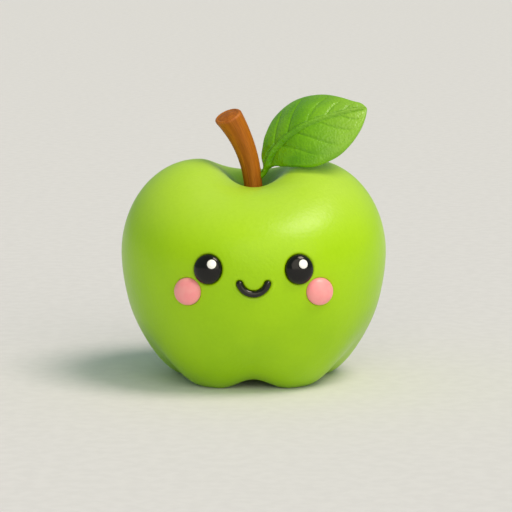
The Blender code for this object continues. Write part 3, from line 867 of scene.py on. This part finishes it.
# %% Calyx
calyx_low, calyx_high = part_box("calyx")
CALYX_REACH = 3.55 * MM
CALYX_WAIST = 1.7 * MM
CALYX_MIDDLE = Vector((APPLE_AXIS.x, APPLE_AXIS.y, (calyx_low.z + calyx_high.z) / 2))
CALYX_THICK, SEPAL_THIN = 0.7, 0.5  # mm: half its thickness, and how much its edge has lost
SEPAL_SLIM = 1.3  # above 1 the sepals are slimmer
BLUNT = 0.9
TUFT = 0.9 * MM  # its height and its radius
SEPAL_CURL, CURL_POWER = 2.3 * MM, 2.4
CREASE = 0.3 * MM
CRUMPLE, CRUMPLE_SIZE = 0.22 * MM, 0.7 * MM


def calyx_shape(turn, share):
    petal = ((1 + math.cos(LOBES * (turn + math.pi / 2))) / 2) ** SEPAL_SLIM
    reach = CALYX_WAIST + (CALYX_REACH - CALYX_WAIST) * petal
    radius = reach * math.sin(math.pi * share) ** BLUNT
    outwards = radius / CALYX_REACH
    height = (CALYX_THICK - SEPAL_THIN * outwards) * MM * math.cos(math.pi * share)
    if share > 0.5:
        height -= TUFT * hump(radius, TUFT)
    height -= SEPAL_CURL * outwards**CURL_POWER
    point = Vector((radius * math.cos(turn), radius * math.sin(turn), height))
    crease = CREASE * abs(math.sin(LOBES * turn / 2 + math.pi / 4)) * outwards
    crumple = CRUMPLE * noise.noise(point / CRUMPLE_SIZE) * min(1.0, radius / MM)
    return CALYX_MIDDLE + point + Vector((0, 0, crumple + crease))


calyx = finished_piece("dried_calyx", moulded(150, 60, calyx_shape), "calyx")

# %% [markdown]
# ## Finishes
# Every finish starts as one Principled shader. The helpers below turn a colour as a paint
# chart gives it into the light values that the shader wants, and add a node with its settings
# and links. Patterns are placed by Object coordinates, which are metres here, so a pattern's
# scale is one over its real size.

# %% Helpers for materials
def paint(hex_colour):
    """An sRGB hex colour as linear RGBA."""
    channels = [int(hex_colour[i : i + 2], 16) / 255 for i in (0, 2, 4)]
    return (*[c / 12.92 if c <= 0.04045 else ((c + 0.055) / 1.055) ** 2.4 for c in channels], 1.0)


def per_mm(size):
    """The texture scale that makes features of this size in millimetres."""
    return 1 / (size * MM)


def add_node(tree, kind, inputs, **settings):
    """Adds a node. An input that is another node's output is linked, any other is set."""
    node = tree.nodes.new(f"ShaderNode{kind}")
    for name, value in settings.items():
        setattr(node, name, value)
    for name, value in inputs.items():
        if isinstance(value, bpy.types.NodeSocket):
            tree.links.new(value, node.inputs[name])
        else:
            node.inputs[name].default_value = value
    return node


def new_finish(name, inputs):
    """A material with its shader set, and the tree, the shader and the object coordinates."""
    material = bpy.data.materials.new(name)
    material.use_nodes = True
    tree = material.node_tree
    shader = tree.nodes["Principled BSDF"]
    for socket, value in inputs.items():
        shader.inputs[socket].default_value = value
    place = add_node(tree, "TexCoord", {}).outputs["Object"]
    return material, tree, shader, place


def layered(tree, colour, layers):
    """The colour under layers, each a share from 0 to 1 and a colour of its own."""
    for share, layer in layers:
        # A Mix node's sockets 0, 6 and 7 are its share and its two colours, and 2 gives a colour.
        inputs = {0: share, 6: colour, 7: layer}
        colour = add_node(tree, "Mix", inputs, data_type="RGBA").outputs[2]
    return colour


def between(tree, factor, low, high, from_low=0.3, from_high=0.7):
    """A colour or number that goes from low to high as the factor does between its bounds."""
    inputs = {"Value": factor, "From Min": from_low, "From Max": from_high}
    eased = add_node(tree, "MapRange", inputs, interpolation_type="SMOOTHSTEP").outputs[0]
    if isinstance(low, (int, float)):
        inputs = {"Value": eased, "To Min": low, "To Max": high}
        return add_node(tree, "MapRange", inputs).outputs[0]
    return layered(tree, low, [(eased, high)])


def give_finish(material, *pieces):
    for piece in pieces:
        piece.data.materials.append(material)
    print(f"{material.name}: on", ", ".join(piece.name for piece in pieces))


# %% [markdown]
# ## Satin vinyl skin
# Soft vinyl, cast in a mould and sprayed with a satin colour. The spray leaves a fine pebbled
# grain that breaks up the highlight, and slight clouds of lighter and deeper green. Real grain
# is a third of a millimetre wide, but here it is drawn nearly a millimetre wide, so that it
# shows. The colour is painted darker towards the bottom as painted shade, paler on the
# shoulders as a painted highlight of the light from above, and deeper green in the hollow
# round the stem as painted shade.

# %% Skin
# The deeper green round the stem is painted shade in the hollow.
HOLLOW_SHADE_SHIFT = Vector((0, 5.0, 0)) * MM  # from the stem's foot to the middle of the deep green


def satin_vinyl_skin():
    material, tree, shader, place = new_finish(
        "sprayed satin vinyl, apple green", {"IOR": 1.47, "Specular IOR Level": 0.32}
    )
    height = add_node(tree, "SeparateXYZ", {"Vector": place}).outputs["Z"]
    hollow = {0: place, 1: Vector(STEM_FOOT) + HOLLOW_SHADE_SHIFT}
    from_hollow_shade = add_node(tree, "VectorMath", hollow, operation="DISTANCE").outputs["Value"]
    cloud = {"Vector": place, "Scale": per_mm(16), "Detail": 3.0}
    cloud = add_node(tree, "TexNoise", cloud).outputs["Fac"]
    speck = {"Vector": place, "Scale": per_mm(1.1), "Detail": 3.0, "Roughness": 0.6}
    speck = add_node(tree, "TexNoise", speck).outputs["Fac"]
    # darker green towards the bottom: painted shade under the body
    flank = between(tree, height, paint("94C400"), paint("A2D202"), 8 * MM, 40 * MM)
    layers = [
        # paler towards the top: a painted highlight of the light from above on the shoulders
        (between(tree, height, 0.0, 0.5, 40 * MM, 64 * MM), paint("C2DE60")),
        # deeper green in the hollow round the stem: painted shade
        (between(tree, from_hollow_shade, 0.9, 0.0, 8 * MM, 17 * MM), paint("488400")),
        (between(tree, cloud, 0.0, 0.35), paint("AEDA0C")),
        (between(tree, speck, 0.06, 0.0, 0.35, 0.6), paint("82B200")),
    ]
    tree.links.new(layered(tree, flank, layers), shader.inputs["Base Color"])
    tree.links.new(between(tree, speck, 0.29, 0.35), shader.inputs["Roughness"])
    pebbles = {"Vector": place, "Scale": per_mm(0.9), "Roughness": 0.55}
    pebbles = add_node(tree, "TexNoise", pebbles).outputs["Fac"]
    pebbled = add_node(tree, "Bump", {"Height": pebbles, "Distance": 0.06 * MM}).outputs["Normal"]
    dimples = add_node(tree, "TexNoise", {"Vector": place, "Scale": per_mm(2.6)}).outputs["Fac"]
    dimpled = {"Height": dimples, "Distance": 0.05 * MM, "Normal": pebbled}
    dimpled = add_node(tree, "Bump", dimpled).outputs["Normal"]
    tree.links.new(dimpled, shader.inputs["Normal"])
    return material


give_finish(satin_vinyl_skin(), apple_skin)

# %% [markdown]
# ## Beads
# Black acrylic, polished, with a sharp bright highlight. The smile is the same acrylic, buffed
# by hand. The glints are white acrylic. The cheeks are satin vinyl in pink, with a soft
# highlight.

# %% Black, white and pink
def polished_acrylic(name, dark, light, roughness, gloss):
    """Acrylic with faint clouds in its colour."""
    material, tree, shader, place = new_finish(
        name, {"IOR": 1.49, "Roughness": roughness, "Specular IOR Level": gloss}
    )
    clouds = add_node(tree, "TexNoise", {"Vector": place, "Scale": per_mm(2.5)}).outputs["Fac"]
    tree.links.new(between(tree, clouds, paint(dark), paint(light)), shader.inputs["Base Color"])
    return material


def satin_vinyl_blush():
    material, tree, shader, place = new_finish(
        "sprayed satin vinyl, pink", {"IOR": 1.47, "Specular IOR Level": 0.5}
    )
    clouds = add_node(tree, "TexNoise", {"Vector": place, "Scale": per_mm(3.0)}).outputs["Fac"]
    pink = between(tree, clouds, paint("FF9AA0"), paint("FFA6A8"))
    tree.links.new(pink, shader.inputs["Base Color"])
    fine = add_node(tree, "TexNoise", {"Vector": place, "Scale": per_mm(0.5)}).outputs["Fac"]
    tree.links.new(between(tree, fine, 0.3, 0.36), shader.inputs["Roughness"])
    grained = add_node(tree, "Bump", {"Height": fine, "Distance": 0.02 * MM}).outputs["Normal"]
    tree.links.new(grained, shader.inputs["Normal"])
    return material


eye_black = polished_acrylic("polished acrylic, black", "0C0A0A", "11100E", 0.16, 0.36)
smile_black = polished_acrylic("buffed acrylic, black", "0A0705", "100A07", 0.2, 0.5)
glint_white = polished_acrylic("polished acrylic, white", "FAF9F7", "FFFFFE", 0.15, 0.5)
give_finish(eye_black, *eyes)
give_finish(glint_white, *glints)
give_finish(satin_vinyl_blush(), *cheeks)
give_finish(smile_black, smile)

# %% [markdown]
# ## Stained wood
# The stem looks like a stained twig under a thin satin varnish. The grain runs along it as
# streaks a third of a millimetre wide and many times as long, so the noise reads the mark on
# each point, squeezed along the twig.

# %% Stem
SQUEEZE = 0.09  # a streak is about eleven times as long as it is wide


def stained_twig():
    material, tree, shader, place = new_finish(
        "stained twig, satin varnish", {"IOR": 1.5, "Specular IOR Level": 0.3}
    )
    mark = add_node(tree, "Attribute", {}, attribute_name="mark").outputs["Vector"]
    unrolled = {"Vector": mark, "Scale": (1, 1, SQUEEZE)}
    unrolled = add_node(tree, "Mapping", unrolled).outputs["Vector"]
    broad = add_node(tree, "TexNoise", {"Vector": unrolled, "Scale": per_mm(2.2)}).outputs["Fac"]
    streak = {"Vector": unrolled, "Scale": per_mm(0.32), "Detail": 3.0, "Roughness": 0.6}
    streak = add_node(tree, "TexNoise", streak).outputs["Fac"]
    stain = between(tree, broad, paint("A2560E"), paint("BC6C18"))
    layers = [(between(tree, streak, 0.5, 0.0, 0.3, 0.56), paint("7A3C06"))]
    tree.links.new(layered(tree, stain, layers), shader.inputs["Base Color"])
    tree.links.new(between(tree, streak, 0.52, 0.4), shader.inputs["Roughness"])
    grained = add_node(tree, "Bump", {"Height": streak, "Distance": 0.09 * MM}).outputs["Normal"]
    tree.links.new(grained, shader.inputs["Normal"])
    return material


give_finish(stained_twig(), stem)

# %% [markdown]
# ## The leaf's finish
# Satin vinyl again, deeper green. Real leaves are finely puckered between their veins: a cell
# pattern of three quarters of a millimetre with noise over it. The blade is painted paler
# towards the right and its tip, a painted highlight where the key light falls. The veins are a
# little lighter, and the margin is painted lighter as a painted highlight along its rolled
# edge; the marks on the points tell both.

# %% Leaf
def satin_vinyl_leaf():
    material, tree, shader, place = new_finish(
        "sprayed satin vinyl, leaf green", {"IOR": 1.47, "Specular IOR Level": 0.45}
    )
    mark = add_node(tree, "Attribute", {}, attribute_name="mark").outputs["Vector"]
    mark = add_node(tree, "SeparateXYZ", {"Vector": mark}).outputs
    rightwards = add_node(tree, "SeparateXYZ", {"Vector": place}).outputs["X"]
    clouds = {"Vector": place, "Scale": per_mm(6.0), "Detail": 3.0}
    clouds = add_node(tree, "TexNoise", clouds).outputs["Fac"]
    green = between(tree, clouds, paint("60A000"), paint("72B006"))
    layers = [
        # paler towards the right and the tip: a painted highlight where the key light falls
        (between(tree, rightwards, 0.0, 0.55, 12 * MM, 36 * MM), paint("A8D050")),
        (between(tree, mark["X"], 0.0, 0.3, 0.3, 1.0), paint("6AA806")),
        # lighter along the margin: a painted highlight on the rolled edge
        (between(tree, mark["Y"], 0.0, 0.35, 0.2, 1.0), paint("7AB40E")),
    ]
    tree.links.new(layered(tree, green, layers), shader.inputs["Base Color"])
    fine = {"Vector": place, "Scale": per_mm(0.6), "Roughness": 0.6}
    fine = add_node(tree, "TexNoise", fine).outputs["Fac"]
    tree.links.new(between(tree, fine, 0.28, 0.36), shader.inputs["Roughness"])
    cells = {"Vector": place, "Scale": per_mm(0.75), "Smoothness": 0.5}
    cells = add_node(tree, "TexVoronoi", cells, feature="SMOOTH_F1").outputs["Distance"]
    pucker = add_node(tree, "Bump", {"Height": cells, "Distance": 0.15 * MM}).outputs["Normal"]
    grained = {"Height": fine, "Distance": 0.05 * MM, "Normal": pucker}
    grained = add_node(tree, "Bump", grained).outputs["Normal"]
    tree.links.new(grained, shader.inputs["Normal"])
    return material


give_finish(satin_vinyl_leaf(), leaf)

# %% [markdown]
# ## Dried sepals
# Papery and matt, with brown fibres half a millimetre wide.

# %% Calyx
def dried_sepals():
    material, tree, shader, place = new_finish("dried sepals, papery", {"Roughness": 0.85})
    fibres = {"Vector": place, "Scale": per_mm(0.5), "Detail": 4.0, "Roughness": 0.7}
    fibres = add_node(tree, "TexNoise", fibres).outputs["Fac"]
    brown = between(tree, fibres, paint("4A3216"), paint("8A6836"))
    tree.links.new(brown, shader.inputs["Base Color"])
    creased = add_node(tree, "Bump", {"Height": fibres, "Distance": 0.15 * MM}).outputs["Normal"]
    tree.links.new(creased, shader.inputs["Normal"])
    return material


give_finish(dried_sepals(), calyx)

# %% [markdown]
# ## A plain studio
# A pale floor that runs on to the horizon. The light is that of a white room with large
# windows: a warm key from high on the right, a second one from the front that opens the
# shadows, and pale mint light all round. Sun lamps with a wide angle give soft shadows and
# light the floor evenly.

# %% Floor, lights and sky
FLOOR_RADIUS = 6.0
SKY_STRENGTH = 0.36


def add_floor():
    bm = bmesh.new()
    bmesh.ops.create_circle(bm, cap_ends=True, segments=96, radius=FLOOR_RADIUS)
    mesh = bpy.data.meshes.new("floor")
    bm.to_mesh(mesh)
    bm.free()
    floor = bpy.data.objects.new("floor", mesh)
    bpy.context.scene.collection.objects.link(floor)
    material, tree, shader, place = new_finish("pale matt paper", {"Roughness": 0.8})
    fibres = add_node(tree, "TexNoise", {"Vector": place, "Scale": per_mm(4.0)}).outputs["Fac"]
    paper = between(tree, fibres, paint("DFDDE5"), paint("E3E1E9"))
    tree.links.new(paper, shader.inputs["Base Color"])
    mesh.materials.append(material)


def add_window(name, direction, strength, spread, colour):
    """Soft light from far away in this direction, spread over so many degrees of the sky."""
    data = bpy.data.lights.new(name, "SUN")
    data.energy = strength
    data.angle = math.radians(spread)
    data.color = paint(colour)[:3]
    lamp = bpy.data.objects.new(name, data)
    bpy.context.scene.collection.objects.link(lamp)
    lamp.rotation_mode = "QUATERNION"
    lamp.rotation_quaternion = Vector(direction).to_track_quat("Z", "Y")


add_floor()
add_window("window", (0.28, -0.89, 0.36), strength=1.58, spread=70, colour="FFF0DE")
add_window("key", (0.45, -0.20, 0.87), strength=1.95, spread=28, colour="FFEEE0")

sky = bpy.data.worlds.new("pale sky")
sky.use_nodes = True
background = sky.node_tree.nodes["Background"]
background.inputs["Color"].default_value = paint("DEFDEC")
background.inputs["Strength"].default_value = SKY_STRENGTH
bpy.context.scene.world = sky
bpy.context.scene.view_settings.view_transform = "Standard"
print("lit by", len(bpy.data.lights), "windows and the sky")
